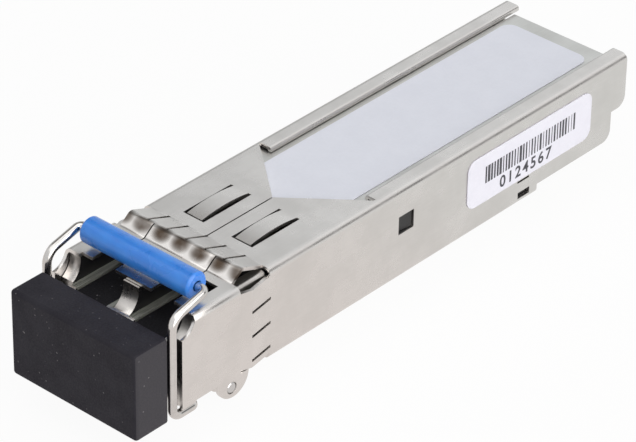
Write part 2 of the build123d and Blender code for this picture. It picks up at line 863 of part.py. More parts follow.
# Release lever: flat arm with a wedge boss at the rear and two eyes for the pin
with BuildPart() as latch_lever:
    slab(-lever_half, lever_half, lever_front_y, lever_neck_y, lever_low_z, lever_top_z)
    slab(-lever_neck_half, lever_neck_half, lever_neck_y, boss_rear_y, lever_low_z, lever_top_z)
    with BuildSketch(Plane.YZ.offset(-lever_neck_half)):
        with BuildLine():
            Polyline(
                (latch_shoulder_y, lever_top_z),
                (latch_shoulder_y, -boss_depth),
                (latch_shoulder_y + boss_flat, -boss_depth),
                (boss_rear_y, lever_low_z),
                (boss_rear_y, lever_top_z),
                close=True,
            )
        make_face()
    extrude(amount=2 * lever_neck_half)
    for side in (-1, 1):
        low, high = sorted((side * (eye_x - eye_width / 2), side * (eye_x + eye_width / 2)))
        cross_bar(pin_y, pin_z, eye_radius, low, high)
        slab(low, high, pin_y - eye_radius, pin_y + eye_radius, pin_z, lever_top_z)
    cross_bar(pin_y, pin_z, pin_radius + pin_clearance, -lever_half, lever_half, Mode.SUBTRACT)
    fillet(latch_lever.edges().filter_by(Axis.Z).group_by(Axis.Y)[0], radius=lever_thickness)
latch_lever.part.label = "latch_lever"

# Pin that the lever turns on, held in the ears of the sleeve
with BuildPart() as lever_pin:
    cross_bar(pin_y, pin_z, pin_radius, -half_nose, half_nose)
    chamfer(lever_pin.edges().filter_by(GeomType.CIRCLE), length=pin_lead)
lever_pin.part.label = "lever_pin"

# Coil spring between the lever and the base
with BuildPart() as lever_spring:
    coil_height = spring_top_z - lever_top_z - 2 * spring_wire
    with BuildLine(Plane((0, spring_y, lever_top_z + spring_wire))) as coil:
        Helix(pitch=coil_height / spring_turns, height=coil_height, radius=spring_radius)
    with BuildSketch(Plane(origin=coil.line @ 0, z_dir=coil.line % 0)):
        RegularPolygon(spring_wire, spring_sides)
    sweep(is_frenet=True)
lever_spring.part.label = "lever_spring"

# Bail bent from one round wire: two arms, two lower runs, two pivot legs
with BuildPart() as bail_wire:
    with BuildLine():
        FilletPolyline(
            (-bail_leg_end_x, bail_pivot_y, bail_pivot_z),
            (-bail_x, bail_pivot_y, bail_pivot_z),
            (-bail_x, bail_arm_y, bail_pivot_z),
            (-bail_x, bail_arm_y, bail_shoulder_z),
            (-bail_x, bail_bar_y, bail_bar_z),
            (bail_x, bail_bar_y, bail_bar_z),
            (bail_x, bail_arm_y, bail_shoulder_z),
            (bail_x, bail_arm_y, bail_pivot_z),
            (bail_x, bail_pivot_y, bail_pivot_z),
            (bail_leg_end_x, bail_pivot_y, bail_pivot_z),
            radius=(
                bail_leg_radius,
                bail_low_radius,
                bail_high_radius,
                bail_corner_radius,
                bail_corner_radius,
                bail_high_radius,
                bail_low_radius,
                bail_leg_radius,
            ),
        )
    with BuildSketch(Plane((-bail_leg_end_x, bail_pivot_y, bail_pivot_z), z_dir=(-1, 0, 0))):
        RegularPolygon(wire_radius, wire_sides)
    sweep()
bail_wire.part.label = "bail_wire"

# Soft grip on the bail's crossbar
with BuildPart() as bail_sleeve:
    cross_bar(bail_bar_y, bail_bar_z, sleeve_radius, -sleeve_half, sleeve_half)
    chamfer(bail_sleeve.edges().filter_by(GeomType.CIRCLE), length=sleeve_edge)
    cross_bar(bail_bar_y, bail_bar_z, wire_radius + sleeve_bore_gap, -sleeve_half, sleeve_half, Mode.SUBTRACT)
bail_sleeve.part.label = "bail_sleeve"

# Dust plug: a thick flange to grip and two hollow prongs that fill the ports
with BuildPart() as dust_plug:
    slab(-plug_width / 2, plug_width / 2, plug_front_y, plug_rear_y, plug_low_z, plug_high_z)
    rear_face_edges = dust_plug.edges().group_by(Axis.Y)[-1]
    fillet(dust_plug.edges() - rear_face_edges, radius=plug_edge_radius)
    for side in (-1, 1):
        x = side * osa_x
        prong_half = port_width / 2 - plug_fit
        prong_top_z = port_floor_z + port_height - plug_fit
        with BuildSketch(Plane((x, plug_rear_y - plug_edge_radius, 0), x_dir=(1, 0, 0), z_dir=(0, 1, 0))):
            with Locations((0, -(port_floor_z + plug_fit + prong_top_z) / 2)):
                Rectangle(2 * prong_half, prong_top_z - port_floor_z - plug_fit)
        extrude(amount=prong_rear_y - plug_rear_y + plug_edge_radius)
        slab(
            x - prong_half + rail_width,
            x + prong_half - rail_width,
            plug_rear_y - plug_edge_radius,
            prong_rear_y,
            prong_top_z,
            rail_top_z - plug_fit,
        )
        round_bar(x, osa_axis_z, prong_bore_radius, prong_bore_front_y, prong_rear_y, Mode.SUBTRACT)
    chamfer(dust_plug.edges().filter_by(Axis.X).group_by(Axis.Y)[-1], length=prong_tip / 2)
dust_plug.part.label = "dust_plug"

pieces = (
    shell,
    base_casting,
    lid_plate,
    top_label,
    side_label,
    circuit_board,
    edge_contacts,
    transmitter,
    receiver,
    transmitter_ferrule,
    receiver_ferrule,
    optics_clamp,
    transmitter_flex,
    receiver_flex,
    controller_chip,
    driver_chip,
    amplifier_chip,
    memory_chip,
    board_capacitors,
    board_resistors,
    supply_inductors,
    thermal_pad,
    latch_lever,
    lever_pin,
    lever_spring,
    bail_wire,
    bail_sleeve,
    dust_plug,
)
for piece in pieces:
    export_step(piece.part, f"parts/{piece.part.label}.step")
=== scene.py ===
import json
import math

import bmesh
import bpy
from mathutils import Matrix, Vector

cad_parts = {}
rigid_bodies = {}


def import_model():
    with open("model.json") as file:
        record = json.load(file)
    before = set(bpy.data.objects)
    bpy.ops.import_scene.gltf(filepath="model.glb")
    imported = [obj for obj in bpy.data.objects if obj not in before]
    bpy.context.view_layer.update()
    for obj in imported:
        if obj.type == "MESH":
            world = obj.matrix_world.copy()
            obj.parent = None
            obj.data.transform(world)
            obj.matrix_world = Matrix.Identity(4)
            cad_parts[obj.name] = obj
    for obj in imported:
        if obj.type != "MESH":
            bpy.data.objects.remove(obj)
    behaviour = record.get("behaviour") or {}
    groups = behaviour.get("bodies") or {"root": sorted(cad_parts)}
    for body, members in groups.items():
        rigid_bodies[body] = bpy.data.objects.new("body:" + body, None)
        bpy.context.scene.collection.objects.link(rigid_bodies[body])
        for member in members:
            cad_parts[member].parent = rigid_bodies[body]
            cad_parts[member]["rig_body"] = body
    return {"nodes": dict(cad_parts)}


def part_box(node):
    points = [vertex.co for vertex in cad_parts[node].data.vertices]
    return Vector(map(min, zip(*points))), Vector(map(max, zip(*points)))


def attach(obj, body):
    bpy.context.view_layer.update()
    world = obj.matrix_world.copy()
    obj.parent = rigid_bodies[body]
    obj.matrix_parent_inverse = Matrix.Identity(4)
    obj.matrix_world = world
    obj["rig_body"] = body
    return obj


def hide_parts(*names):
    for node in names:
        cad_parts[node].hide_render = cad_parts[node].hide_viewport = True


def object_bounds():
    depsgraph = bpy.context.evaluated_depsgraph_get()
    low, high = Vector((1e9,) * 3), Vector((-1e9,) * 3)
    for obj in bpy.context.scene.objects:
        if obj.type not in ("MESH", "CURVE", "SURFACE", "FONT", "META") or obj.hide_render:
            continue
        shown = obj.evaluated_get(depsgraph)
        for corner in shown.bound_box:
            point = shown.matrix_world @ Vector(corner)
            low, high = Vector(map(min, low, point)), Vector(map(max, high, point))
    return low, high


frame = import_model()
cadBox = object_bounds()
nodes = frame["nodes"]
mm = 0.001
print("stage: frame loaded, %d nodes" % len(nodes))

# The camera stands where the photo's lines and the known outline put it

cameraPlan = {
    "azimuth": 41.796,
    "elevation": 33.222,
    "roll": 0.769,
    "place": (171.876, -178.347, 173.538),  # millimetres
    "lens": 218.32,
    "sensor": 36.0,
    "shift": (0.03087, 0.00228),
    "clip": (0.01, 10.0),                   # metres
}


def makeCamera(plan):
    azimuth, elevation, roll = (math.radians(plan[key]) for key in ("azimuth", "elevation", "roll"))
    level = math.cos(elevation)
    back = Vector((math.sin(azimuth) * level, -math.cos(azimuth) * level, math.sin(elevation)))
    right = Vector((0, 0, 1)).cross(back).normalized()
    up = back.cross(right)
    turnedRight = right * math.cos(roll) + up * math.sin(roll)
    turnedUp = up * math.cos(roll) - right * math.sin(roll)
    data = bpy.data.cameras.new("camera")
    data.lens = plan["lens"]
    data.sensor_width = plan["sensor"]
    data.sensor_fit = "HORIZONTAL"
    data.shift_x, data.shift_y = plan["shift"]
    data.clip_start, data.clip_end = plan["clip"]
    camera = bpy.data.objects.new("camera", data)
    camera.matrix_world = Matrix((turnedRight, turnedUp, back)).transposed().to_4x4()
    camera.location = Vector(plan["place"]) * mm
    bpy.context.scene.collection.objects.link(camera)
    bpy.context.scene.camera = camera


makeCamera(cameraPlan)
print("stage: camera placed")

# Node trees: a wrapped socket with operators, and one maker for every other node


class Wire:
    def __init__(self, tree, socket):
        self.tree = tree
        self.socket = socket

    def maths(self, operation, *values):
        return self.tree.node("ShaderNodeMath", {"operation": operation}, dict(enumerate(values)))

    def __add__(self, other):
        return self.maths("ADD", self, other)

    def __sub__(self, other):
        return self.maths("SUBTRACT", self, other)

    def __rsub__(self, other):
        return self.maths("SUBTRACT", other, self)

    def __mul__(self, other):
        return self.maths("MULTIPLY", self, other)

    def __gt__(self, other):
        return self.maths("GREATER_THAN", self, other)

    def __lt__(self, other):
        return self.maths("LESS_THAN", self, other)

    def __abs__(self):
        return self.maths("ABSOLUTE", self)

    __radd__ = __add__
    __rmul__ = __mul__

    def either(self, other):
        return self.maths("MAXIMUM", self, other)

    def fraction(self):
        return self.maths("FRACT", self)

    def blend(self, other, share):
        return self * (1 - share) + other * share

    def ramp(self, low, high, toLow=0.0, toHigh=1.0):
        values = {"Value": self, "From Min": low, "From Max": high, "To Min": toLow, "To Max": toHigh}
        return self.tree.node("ShaderNodeMapRange", {"interpolation_type": "SMOOTHSTEP"}, values)

    def beside(self, name):
        return Wire(self.tree, self.socket.node.outputs[name])


class Tree:
    def __init__(self, nodeTree):
        self.nodeTree = nodeTree

    def node(self, kind, settings=None, values=None, out=0):
        made = self.nodeTree.nodes.new(kind)
        for key, value in (settings or {}).items():
            setattr(made, key, value)
        for key, value in (values or {}).items():
            self.feed(made.inputs[key], value)
        return Wire(self, made.outputs[out]) if len(made.outputs) else made

    def feed(self, socket, value):
        if isinstance(value, Wire):
            self.nodeTree.links.new(value.socket, socket)
        elif isinstance(value, tuple) and len(value) == 3 and socket.type == "RGBA":
            socket.default_value = (*value, 1.0)
        else:
            socket.default_value = value

    def mix(self, factor, first, second):
        values = {"Factor": factor, 6: first, 7: second}    # 6, 7 and out 2 are the colour sockets
        return self.node("ShaderNodeMix", {"data_type": "RGBA"}, values, out=2)


class Shader(Tree):
    def __init__(self, name):
        self.material = bpy.data.materials.new(name)
        self.material.use_nodes = True
        super().__init__(self.material.node_tree)
        self.principled = self.nodeTree.nodes["Principled BSDF"]
        self.coords = self.node("ShaderNodeTexCoord", out="Object")

    def set(self, **values):
        for key, value in values.items():
            self.feed(self.principled.inputs[key.replace("_", " ")], value)
        return self.material

    def noise(self, scale, detail=2.0, rough=0.5, stretch=None):
        coords = self.coords
        if stretch:
            coords = self.node("ShaderNodeMapping", {}, {"Vector": coords, "Scale": stretch})
        values = {"Vector": coords, "Scale": scale, "Detail": detail, "Roughness": rough}
        return self.node("ShaderNodeTexNoise", {}, values)

    def bump(self, height, strength, distance):
        values = {"Height": height, "Strength": strength, "Distance": distance}
        return self.node("ShaderNodeBump", {}, values)

    def axis(self, letter):
        return self.node("ShaderNodeSeparateXYZ", {}, {0: self.coords}, out=letter)


# Plated, cast and turned metals

metalPlan = {
    "lidPlate": {"light": (0.620, 0.620, 0.605), "dark": (0.550, 0.550, 0.535), "rough": (0.30, 0.42)},
    "bailWire": {"light": (0.640, 0.625, 0.610), "dark": (0.510, 0.498, 0.486), "rough": (0.14, 0.24)},
    "leverSteel": {"light": (0.600, 0.590, 0.575), "dark": (0.500, 0.490, 0.475), "rough": (0.22, 0.36)},
    "turnedSteel": {"light": (0.620, 0.620, 0.620), "dark": (0.500, 0.500, 0.500), "rough": (0.18, 0.30)},
    "contactGold": {"light": (0.950, 0.680, 0.240), "dark": (0.800, 0.520, 0.160), "rough": (0.20, 0.32)},
}
metalGrain = {
    "cloud": (260.0, 4.0, 0.6),                      # soft tarnish patches, a few millimetres wide
    "grain": (9000.0, 3.0, 0.6),                     # plating grain
    "lines": (1500.0, 2.0, 0.7, (6.0, 0.25, 6.0)),   # drawing marks along the body
    "toneLines": 0.25,                               # shares of the second pattern
    "roughGrain": 0.1,
    "bumpLines": 0.9,
    "tone": (0.32, 0.68),
    "gloss": (0.3, 0.7),
    "bump": (0.006, 0.00002),
}
sheetPlan = {
    "light": (0.665, 0.645, 0.630),
    "dark": (0.605, 0.588, 0.572),
    "rough": (0.24, 0.34),
    "paintedReflection": (0.072, 0.052, 0.038),      # painted reflection: a brown patch on the slope of each contact finger
    "reflectionPatch": (0.2, 0.55, 0.7, 1.0),
    "reflectionNoise": (700.0, 2.0, 0.5),
    "fingerPitch": 2.02 * mm,
    "fingerStart": 6.06 * mm,
    "reflectionAcross": 0.94,                 # its middle, as a share of a finger's width
    "reflectionSpread": 1.7,
    "reflectionAlong": 0.45 * mm,
    "reflectionLength": 0.75 * mm,
    "reflectionFoot": 8.6 * mm,
}
castPlan = {
    "light": (0.620, 0.595, 0.575),
    "dark": (0.480, 0.465, 0.445),
    "rough": (0.24, 0.42),
    "ledge": (0.330, 0.338, 0.300),      # guide ledges in the ports, darker than the casting as painted shade
    "ledgeDark": (0.150, 0.154, 0.135),
    "ledgeLines": (0.3, 0.7),
    "shade": (0.012, 0.012, 0.013),      # painted shade on the port walls above the ledges, and on the sides under the sleeve
    "dull": 0.85,                        # how much metal look the painted-shade places lose
    "portMiddle": 3.12 * mm,
    "portHalf": 2.305 * mm,
    "ledgeTop": 6.1 * mm,
    "wallFoot": 5.5 * mm,
    "portMouth": -6.2 * mm,
    "sideShade": 6.25 * mm,              # painted shade on the sides that show only through the catch windows
    "sideStart": 5.0 * mm,
}


def metalTones(shader, plan):
    cloud = shader.noise(*metalGrain["cloud"])
    grain = shader.noise(*metalGrain["grain"])
    lines = shader.noise(*metalGrain["lines"])
    tone = cloud.blend(lines, metalGrain["toneLines"]).ramp(*metalGrain["tone"])
    low, high = plan["rough"]
    rough = cloud.blend(grain, metalGrain["roughGrain"]).ramp(*metalGrain["gloss"], high, low)
    normal = shader.bump(grain.blend(lines, metalGrain["bumpLines"]), *metalGrain["bump"])
    shader.set(Metallic=1.0, Roughness=rough, Normal=normal)
    return shader.mix(tone, plan["dark"], plan["light"]), lines


def platedMetal(name, plan):
    shader = Shader(name)
    colour, lines = metalTones(shader, plan)
    return shader.set(Base_Color=colour)


def sheetMetal(name, plan):
    shader = Shader(name)
    colour, lines = metalTones(shader, plan)
    # painted reflection: a patchy brown mark near the slit of each top contact finger
    finger = (shader.axis("X") + plan["fingerStart"]) * (1 / plan["fingerPitch"])
    across = ((finger + (0.5 - plan["reflectionAcross"])).fraction() - 0.5) * plan["reflectionSpread"]
    along = (shader.axis("Y") - plan["reflectionAlong"]) * (1 / plan["reflectionLength"])
    reach = across * across + along * along
    spot = (1.0 - reach.ramp(0.0, 1.0)) * (shader.axis("Z") > plan["reflectionFoot"])
    paintedReflection = spot * shader.noise(*plan["reflectionNoise"]).ramp(*plan["reflectionPatch"])
    return shader.set(Base_Color=shader.mix(paintedReflection, colour, plan["paintedReflection"]))


def castMetal(name, plan):
    shader = Shader(name)
    colour, lines = metalTones(shader, plan)
    across = abs(abs(shader.axis("X")) - plan["portMiddle"])
    height = shader.axis("Z")
    depth = shader.axis("Y")
    inPort = (across < plan["portHalf"]) * (height > plan["wallFoot"]) * (depth > plan["portMouth"])
    # painted shade on the sides that show through the catch windows
    side = (abs(shader.axis("X")) > plan["sideShade"]) * (depth > plan["sideStart"])
    # painted shade on the port walls above the ledges, near black
    wall = (inPort * (height > plan["ledgeTop"])).either(side)
    # painted shade: inside the ports the casting takes the darker, dull ledge tone, keeping its drawing
    # lines
    ledge = shader.mix(lines.ramp(*plan["ledgeLines"]), plan["ledgeDark"], plan["ledge"])
    shader.set(Metallic=1.0 - inPort.either(side) * plan["dull"])
    colour = shader.mix(inPort, colour, ledge)
    return shader.set(Base_Color=shader.mix(wall, colour, plan["shade"]))


# Films, boards, resins and ceramics

plainPlan = {
    "labelFilm": {
        "light": (0.755, 0.780, 0.860), "dark": (0.730, 0.755, 0.835),
        "rough": (0.45, 0.55), "grain": 4000.0,
    },
    "sideFilm": {
        "light": (0.730, 0.735, 0.810), "dark": (0.700, 0.705, 0.780),
        "rough": (0.4, 0.5), "grain": 4000.0,
    },
    "printInk": {
        "light": (0.070, 0.070, 0.082), "dark": (0.050, 0.050, 0.062),
        "rough": (0.45, 0.6), "grain": 6000.0,
    },
    "boardMask": {
        "light": (0.030, 0.200, 0.070), "dark": (0.020, 0.130, 0.050),
        "rough": (0.2, 0.35), "grain": 1800.0,
    },
    "ferruleCeramic": {
        "light": (0.85, 0.84, 0.80), "dark": (0.78, 0.77, 0.73),
        "rough": (0.12, 0.2), "grain": 3000.0,
    },
    "flexFilm": {
        "light": (0.55, 0.27, 0.05), "dark": (0.42, 0.18, 0.03),
        "rough": (0.22, 0.35), "grain": 2500.0,
    },
    "chipResin": {
        "light": (0.035, 0.035, 0.038), "dark": (0.02, 0.02, 0.022),
        "rough": (0.45, 0.65), "grain": 9000.0,
    },
    "capCeramic": {
        "light": (0.50, 0.37, 0.24), "dark": (0.40, 0.28, 0.17),
        "rough": (0.4, 0.6), "grain": 5000.0,
    },
    "gapPad": {
        "light": (0.42, 0.50, 0.56), "dark": (0.34, 0.42, 0.48),
        "rough": (0.6, 0.8), "grain": 3000.0,
    },
}
plainGrain = {
    "cloud": (500.0, 3.0, 0.55),
    "detail": (3.0, 0.6),
    "toneGrain": 0.4,
    "tone": (0.35, 0.65),
    "gloss": (0.3, 0.7),
    "bump": (0.1, 0.00002),
    "shine": 0.3,
}


def plainSurface(name, plan):
    shader = Shader(name)
    cloud = shader.noise(*plainGrain["cloud"])
    grain = shader.noise(plan["grain"], *plainGrain["detail"])
    tone = cloud.blend(grain, plainGrain["toneGrain"]).ramp(*plainGrain["tone"])
    colour = shader.mix(tone, plan["dark"], plan["light"])
    rough = grain.ramp(*plainGrain["gloss"], *plan["rough"])
    normal = shader.bump(grain, *plainGrain["bump"])
    shader.set(Specular_IOR_Level=plainGrain["shine"])
    return shader.set(Base_Color=colour, Roughness=rough, Normal=normal)


# The grip of the bail and the rubber plug

gripPlan = {
    "light": (0.050, 0.275, 0.84),
    "dark": (0.030, 0.200, 0.70),
    "rough": (0.24, 0.36),
    "cloud": (450.0, 3.0, 0.5),
    "drag": (1200.0, 2.0, 0.6, (0.3, 4.0, 4.0)),     # faint draw lines along the tube
    "toneDrag": 0.3,
    "range": (0.3, 0.7),
    "bump": (0.1, 0.00003),
    "depth": (0.08, 0.0006),
    "coat": (0.15, 0.2),
}


def gripPlastic(name, plan):
    shader = Shader(name)
    cloud = shader.noise(*plan["cloud"])
    drag = shader.noise(*plan["drag"])
    tone = cloud.blend(drag, plan["toneDrag"]).ramp(*plan["range"])
    colour = shader.mix(tone, plan["dark"], plan["light"])
    rough = cloud.ramp(*plan["range"], *plan["rough"])
    weight, scale = plan["depth"]
    shader.set(Subsurface_Weight=weight, Subsurface_Scale=scale)
    weight, gloss = plan["coat"]
    shader.set(Coat_Weight=weight, Coat_Roughness=gloss)
    return shader.set(Base_Color=colour, Roughness=rough, Normal=shader.bump(drag, *plan["bump"]))


plugPlan = {
    "light": (0.0250, 0.0240, 0.0310),
    "dark": (0.0170, 0.0160, 0.0220),
    "side": (0.0450, 0.0435, 0.0500),    # painted light: the left and right faces lighter, as if lit from the side
    "sideFrom": 6.60 * mm,
    "prongShade": (0.0085, 0.0082, 0.0100),   # painted shade: the prongs darker, as they sit in the ports
    "prongFrom": -8.10 * mm,
    "rough": (0.55, 0.72),
    "cloud": (420.0, 3.0, 0.55),
    "grain": (7000.0, 2.0, 0.5),
    "range": (0.3, 0.7),
    "bump": (0.2, 0.00003),
    "shine": 0.15,
    "dust": (0.30, 0.29, 0.30),
    "dustCells": 2300.0,
    "dustSize": 0.2,
    "dustEdge": 0.08,
    "dustPatches": (900.0, 2.0, 0.5),    # specks gather in patches
    "dustRange": (0.52, 0.68),
    "dustCover": 0.5,
}


def plugRubber(name, plan):
    shader = Shader(name)
    cloud = shader.noise(*plan["cloud"])
    grain = shader.noise(*plan["grain"])
    cells = {"Vector": shader.coords, "Scale": plan["dustCells"], "Randomness": 1.0}
    spots = shader.node("ShaderNodeTexVoronoi", {"feature": "F1"}, cells, out="Distance")
    patches = shader.noise(*plan["dustPatches"]).ramp(*plan["dustRange"])
    dust = (plan["dustSize"] - spots).ramp(0.0, plan["dustEdge"]) * patches
    colour = shader.mix(cloud.ramp(*plan["range"]), plan["dark"], plan["light"])
    # painted light: both side faces lighter
    colour = shader.mix(abs(shader.axis("X")) > plan["sideFrom"], colour, plan["side"])
    # painted shade: the prongs darker than the flange
    colour = shader.mix(shader.axis("Y") > plan["prongFrom"], colour, plan["prongShade"])
    colour = shader.mix(dust * plan["dustCover"], colour, plan["dust"])
    rough = grain.ramp(*plan["range"], *plan["rough"])
    shader.set(Specular_IOR_Level=plan["shine"])
    return shader.set(Base_Color=colour, Roughness=rough, Normal=shader.bump(grain + dust, *plan["bump"]))


finishes = {name: platedMetal(name, plan) for name, plan in metalPlan.items()}
finishes.update({name: plainSurface(name, plan) for name, plan in plainPlan.items()})
finishes["nickelSheet"] = sheetMetal("nickelSheet", sheetPlan)
finishes["castZinc"] = castMetal("castZinc", castPlan)
finishes["gripPlastic"] = gripPlastic("gripPlastic", gripPlan)
finishes["plugRubber"] = plugRubber("plugRubber", plugPlan)
print("stage: %d finishes" % len(finishes))

# Which finish each CAD node takes

nodeFinish = {
    "shell": "nickelSheet",
    "base_casting": "castZinc",
    "lid_plate": "lidPlate",
    "top_label": "labelFilm",
    "side_label": "sideFilm",
    "circuit_board": "boardMask",
    "edge_contacts": "contactGold",
    "transmitter": "turnedSteel",
    "receiver": "turnedSteel",
    "transmitter_ferrule": "ferruleCeramic",
    "receiver_ferrule": "ferruleCeramic",
    "optics_clamp": "leverSteel",
    "transmitter_flex": "flexFilm",
    "receiver_flex": "flexFilm",
    "controller_chip": "chipResin",
    "driver_chip": "chipResin",
    "amplifier_chip": "chipResin",
    "memory_chip": "chipResin",
    "board_capacitors": "capCeramic",
    "board_resistors": "chipResin",
    "supply_inductors": "chipResin",
    "thermal_pad": "gapPad",
    "latch_lever": "leverSteel",
    "lever_pin": "turnedSteel",
    "lever_spring": "turnedSteel",
    "bail_wire": "bailWire",
    "bail_sleeve": "gripPlastic",
    "dust_plug": "plugRubber",
}


def paint(thing, finish):
    thing.data.materials.clear()
    thing.data.materials.append(finishes[finish])


for nodeName, finish in nodeFinish.items():
    paint(nodes[nodeName], finish)
print("stage: nodes painted")

# Sheet, cast and moulded pieces get softened edges, so that each fold and cut catches the light

softPlan = {
    "widths": {
        "shell": 0.05,
        "base_casting": 0.07,
        "lid_plate": 0.06,
        "latch_lever": 0.05,
        "bail_sleeve": 0.06,
        "dust_plug": 0.08,
        "top_label": 0.03,
        "side_label": 0.03,
    },
    "segments": 2,
    "angle": 28,
    "weld": 0.001,
    "flat": 1.5,       # degrees within which facets count as one face
    "even": 100,
}


def newPiece(name, mesh):
    piece = bpy.data.objects.new(name, mesh)
    bpy.context.scene.collection.objects.link(piece)
    return piece


def softCopy(nodeName, width, plan):
    mesh = nodes[nodeName].data.copy()
    piece = newPiece(nodeName + "_soft", mesh)
    work = bmesh.new()
    work.from_mesh(mesh)
    bmesh.ops.remove_doubles(work, verts=work.verts, dist=plan["weld"] * mm)
    flat = math.radians(plan["flat"])
    bmesh.ops.dissolve_limit(work, angle_limit=flat, verts=work.verts, edges=work.edges)
    work.to_mesh(mesh)
    work.free()
    mesh.shade_smooth()
    bevel = piece.modifiers.new("softEdge", "BEVEL")
    bevel.width = width * mm
    bevel.segments = plan["segments"]
    bevel.limit_method = "ANGLE"
    bevel.angle_limit = math.radians(plan["angle"])
    bevel.use_clamp_overlap = True
    even = piece.modifiers.new("evenFaces", "WEIGHTED_NORMAL")    # flat faces stay flat, only edges turn
    even.weight = plan["even"]
    graph = bpy.context.evaluated_depsgraph_get()
    piece.data = bpy.data.meshes.new_from_object(piece.evaluated_get(graph))
    piece.modifiers.clear()
    paint(piece, nodeFinish[nodeName])
    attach(piece, nodes[nodeName]["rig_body"])
    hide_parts(nodeName)


for nodeName, width in softPlan["widths"].items():
    softCopy(nodeName, width, softPlan)
print("stage: soft edges on %d pieces" % len(softPlan["widths"]))

# Geometry Nodes: a tree with named inputs, applied to an object and left as a plain mesh


class Growth(Tree):
    def __init__(self, name, inputs):
        super().__init__(bpy.data.node_groups.new(name, "GeometryNodeTree"))
        face = self.nodeTree.interface
        face.new_socket("Geometry", in_out="INPUT", socket_type="NodeSocketGeometry")
        self.keys = {}
        for label, kind in inputs.items():
            made = face.new_socket(label, in_out="INPUT", socket_type=kind)
            self.keys[label] = made.identifier
        face.new_socket("Geometry", in_out="OUTPUT", socket_type="NodeSocketGeometry")
        self.given = self.nodeTree.nodes.new("NodeGroupInput")
        self.nodeTree.is_modifier = True

    def value(self, label):
        return Wire(self, self.given.outputs[label])

    def end(self, geometry, finish):
        real = self.node("GeometryNodeRealizeInstances", {}, {"Geometry": geometry})
        painted = self.node("GeometryNodeSetMaterial", {}, {"Geometry": real, "Material": finishes[finish]})
        self.node("NodeGroupOutput", {}, {"Geometry": painted})

    def grow(self, piece, values):
        modifier = piece.modifiers.new("growth", "NODES")
        modifier.node_group = self.nodeTree
        for label, value in values.items():
            modifier[self.keys[label]] = value
        graph = bpy.context.evaluated_depsgraph_get()
        piece.data = bpy.data.meshes.new_from_object(piece.evaluated_get(graph))
        piece.modifiers.clear()


# The bail: one round wire that follows the bent path

bailPlan = {
    "radius": 0.375,
    "sides": 20,
    "bendSteps": 9,
    "sharp": 50,                            # degrees from which an edge stays sharp
    "armX": 6.65,
    "legX": 3.9,
    "pivot": (-5.1, 0.1),
    "armY": -7.6,
    "shoulder": 9.1,
    "bar": (-3.9, 10.0),
    "bends": (0.0, 0.45, 0.8, 1.3, 0.5),    # from the pivot leg up to the bar
}


def bailPath(plan):
    pivotY, pivotZ = plan["pivot"]
    barY, barZ = plan["bar"]
    x = plan["armX"]
    armY = plan["armY"]
    half = [
        (plan["legX"], pivotY, pivotZ),
        (x, pivotY, pivotZ),
        (x, armY, pivotZ),
        (x, armY, plan["shoulder"]),
        (x, barY, barZ),
    ]
    points = half + [(-side, depth, height) for side, depth, height in reversed(half)]
    bends = plan["bends"] + plan["bends"][::-1]
    mesh = bpy.data.meshes.new("bailPath")
    edges = [(start, start + 1) for start in range(len(points) - 1)]
    mesh.from_pydata([Vector(point) * mm for point in points], edges, [])
    bend = mesh.attributes.new("bend", "FLOAT", "POINT")
    bend.data.foreach_set("value", [radius * mm for radius in bends])
    return mesh


def bentWire(plan):
    inputs = {"Radius": "NodeSocketFloat", "Sides": "NodeSocketInt", "Bend steps": "NodeSocketInt"}
    growth = Growth("bentWire", inputs)
    path = growth.node("GeometryNodeMeshToCurve", {}, {"Mesh": growth.value("Geometry")})
    bend = growth.node("GeometryNodeInputNamedAttribute", {"data_type": "FLOAT"}, {"Name": "bend"})
    rounded = {"Curve": path, "Count": growth.value("Bend steps"), "Radius": bend, "Limit Radius": True}
    path = growth.node("GeometryNodeFilletCurve", {"mode": "POLY"}, rounded)
    ring = {"Resolution": growth.value("Sides"), "Radius": growth.value("Radius")}
    profile = growth.node("GeometryNodeCurvePrimitiveCircle", {}, ring)
    tube = {"Curve": path, "Profile Curve": profile, "Fill Caps": True}
    growth.end(growth.node("GeometryNodeCurveToMesh", {}, tube), "bailWire")
    piece = newPiece("bail_bent_wire", bailPath(plan))
    values = {"Radius": plan["radius"] * mm, "Sides": plan["sides"], "Bend steps": plan["bendSteps"]}
    growth.grow(piece, values)
    piece.data.shade_smooth()
    piece.data.set_sharp_from_angle(angle=math.radians(plan["sharp"]))
    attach(piece, nodes["bail_wire"]["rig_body"])
    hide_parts("bail_wire")


bentWire(bailPlan)
print("stage: bail wire bent")

# The side label carries generic bars and plain digits

labelPlan = {
    "barStart": 29.1,
    "barEnd": 40.5,
    "barCount": 32,
    "barLow": 4.3,
    "barHigh": 5.9,
    "thickness": 0.01,
    "thin": 0.16,        # widths as shares of the pitch
    "thick": 0.84,
    "seed": 7,
    "digits": "0124567",
    "digitStart": 30.9,
    "digitLow": 2.98,
    "digitSize": 1.52,
    "digitWeight": 0.03,
    "digitSpacing": 1.3,
}


